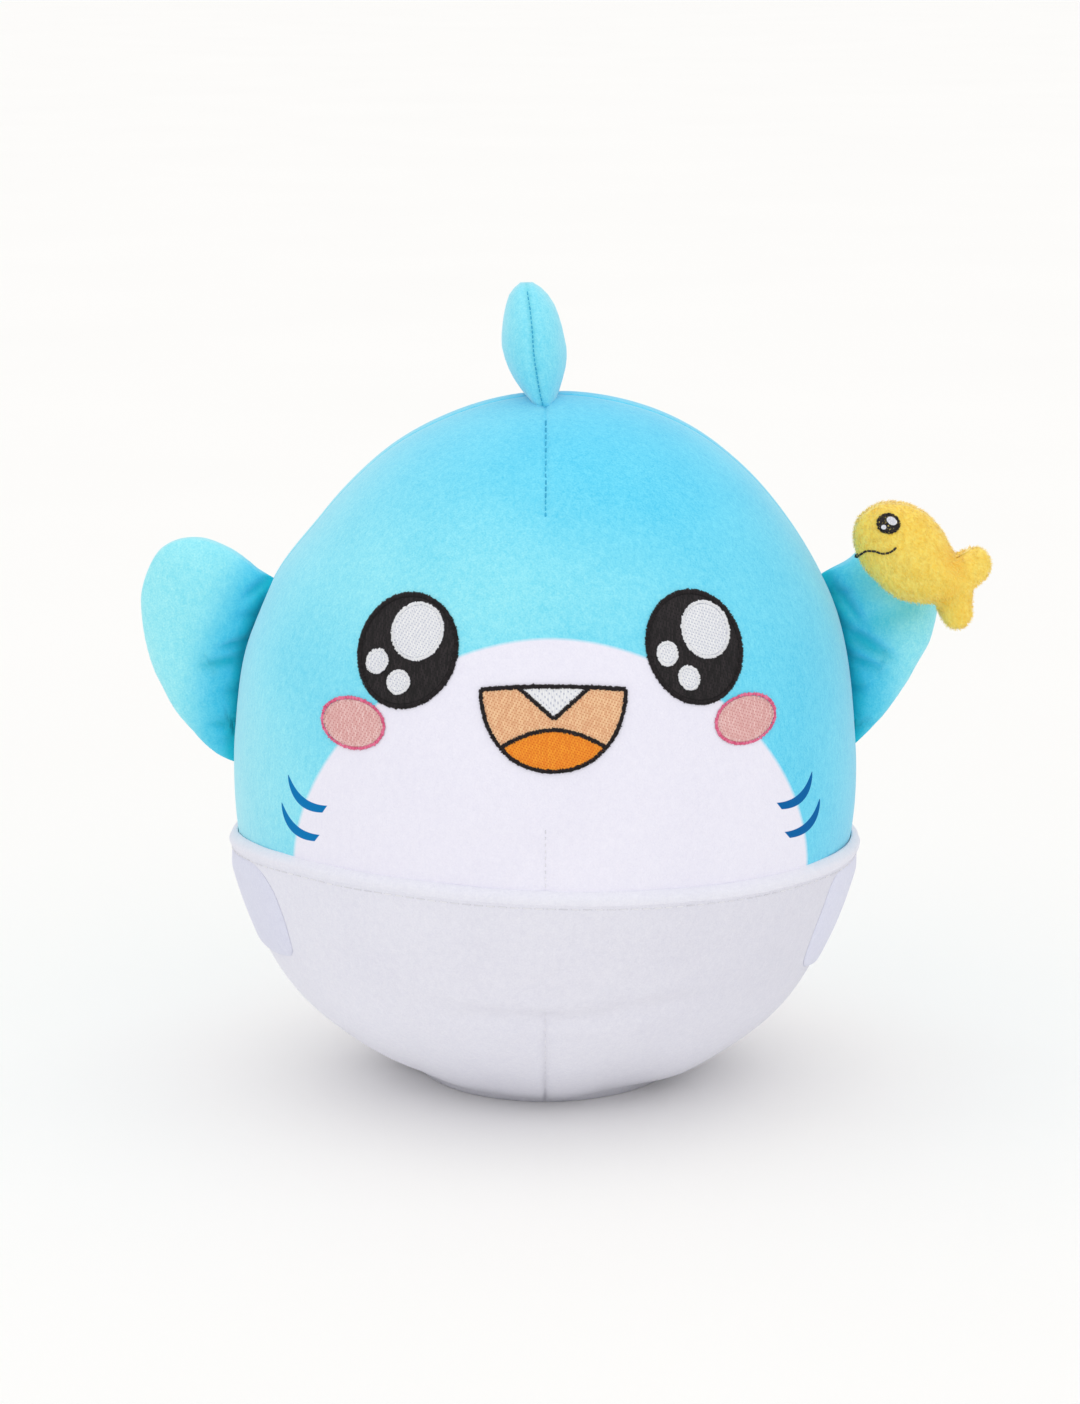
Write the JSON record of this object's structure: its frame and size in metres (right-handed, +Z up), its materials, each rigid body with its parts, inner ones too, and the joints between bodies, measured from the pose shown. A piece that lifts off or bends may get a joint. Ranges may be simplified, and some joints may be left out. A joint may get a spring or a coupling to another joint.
{
  "type": "plush shark",
  "caption": "Ball-shaped stuffed shark with side fins, a top fin, a tail, an embroidered face, a removable white nappy and a small fish tacked to one fin.",
  "frame": {"origin": "middle of the flat that the toy sits on, under the middle of its round body", "axes": "+Z up, the face looks along -Y, +X is to the right for someone looking at the face"},
  "size_m": [0.3171, 0.277, 0.298],
  "materials": {
    "blue_pile": "short velvety pile, light blue with a white printed belly",
    "white_knit": "brushed white knit",
    "blue_thread": "sewing thread",
    "white_thread": "embroidery thread",
    "black_thread": "embroidery thread, slight sheen",
    "pink_thread": "embroidery thread",
    "rose_thread": "embroidery thread",
    "peach_thread": "embroidery thread",
    "orange_thread": "embroidery thread",
    "yellow_pile": "longer soft pile, yellow",
    "stuffing": "loose polyester fibre",
    "hook_tape": "woven tape with plastic hooks or loops"
  },
  "bodies": {
    "body": {"front_cover": "blue_pile", "back_cover_left": "blue_pile", "back_cover_right": "blue_pile", "body_filling": "stuffing", "crown_dart_stitching": "blue_thread", "chin_dart_stitching": "white_thread", "back_seam_stitching": "blue_thread", "eye_left": "black_thread", "eye_right": "black_thread", "eye_left_glints": "white_thread", "eye_right_glints": "white_thread", "cheek_left": "pink_thread", "cheek_right": "pink_thread", "cheek_left_ring": "rose_thread", "cheek_right_ring": "rose_thread", "mouth_lining": "peach_thread", "mouth_outline": "black_thread", "tooth": "white_thread", "tongue": "orange_thread"},
    "left_fin": {"fin_left_front_cover": "blue_pile", "fin_left_back_cover": "blue_pile", "fin_left_filling": "stuffing"},
    "right_fin": {"fin_right_front_cover": "blue_pile", "fin_right_back_cover": "blue_pile", "fin_right_filling": "stuffing"},
    "top_fin": {"top_fin_left_cover": "blue_pile", "top_fin_right_cover": "blue_pile", "top_fin_filling": "stuffing"},
    "tail": {"tail_left_cover": "blue_pile", "tail_right_cover": "blue_pile", "tail_filling": "stuffing"},
    "fish": {"fish_front_cover": "yellow_pile", "fish_back_cover": "yellow_pile", "fish_filling": "stuffing", "fish_eye": "black_thread", "fish_eye_glints": "white_thread", "fish_smile": "black_thread", "fish_tack_thread": "yellow_pile"},
    "nappy": {"nappy_front": "white_knit", "nappy_back": "white_knit", "nappy_hem": "white_knit", "nappy_hem_stitching": "white_thread", "nappy_dart_stitching": "white_thread", "tab_left_loops": "hook_tape", "tab_right_loops": "hook_tape"},
    "left_tab": {"tab_left": "white_knit", "tab_left_hooks": "hook_tape"},
    "right_tab": {"tab_right": "white_knit", "tab_right_hooks": "hook_tape"}
  },
  "joints": [
    {"name": "left_fin_flap", "type": "hinge", "parent": "body", "child": "left_fin", "pos_m": [-0.1154, 0.005, 0.152], "axis": [0.2067, 0, 0.9784], "range_deg": [-30, 30], "stiffness_Nm_per_rad": 0.03},
    {"name": "right_fin_flap", "type": "hinge", "parent": "body", "child": "right_fin", "pos_m": [0.1154, 0.005, 0.152], "axis": [-0.2067, 0, 0.9784], "range_deg": [-18, 30], "stiffness_Nm_per_rad": 0.03},
    {"name": "fish_swing", "type": "hinge", "parent": "right_fin", "child": "fish", "pos_m": [0.1316, -0.0195, 0.1921], "axis": [0, 1, 0], "range_deg": [-20, 20], "stiffness_Nm_per_rad": 0.03},
    {"name": "top_fin_flop", "type": "hinge", "parent": "body", "child": "top_fin", "pos_m": [0, 0.012, 0.2597], "axis": [0, 0.9923, -0.124], "range_deg": [-20, 25], "stiffness_Nm_per_rad": 0.03},
    {"name": "tail_wag", "type": "hinge", "parent": "body", "child": "tail", "pos_m": [0, 0.1174, 0.148], "axis": [0, -0.1799, 0.9837], "range_deg": [-30, 30], "stiffness_Nm_per_rad": 0.03},
    {"name": "nappy_off", "type": "slide", "parent": "body", "child": "nappy", "axis": [0, 0, -1], "range_m": [0, 0.11]},
    {"name": "left_tab_open", "type": "hinge", "parent": "nappy", "child": "left_tab", "pos_m": [-0.114, 0.0079, 0.0725], "axis": [0.2779, -0.0195, -0.9604], "range_deg": [0, 110]},
    {"name": "right_tab_open", "type": "hinge", "parent": "nappy", "child": "right_tab", "pos_m": [0.114, 0.0079, 0.0725], "axis": [0.2779, 0.0195, 0.9604], "range_deg": [0, 110]}
  ]
}
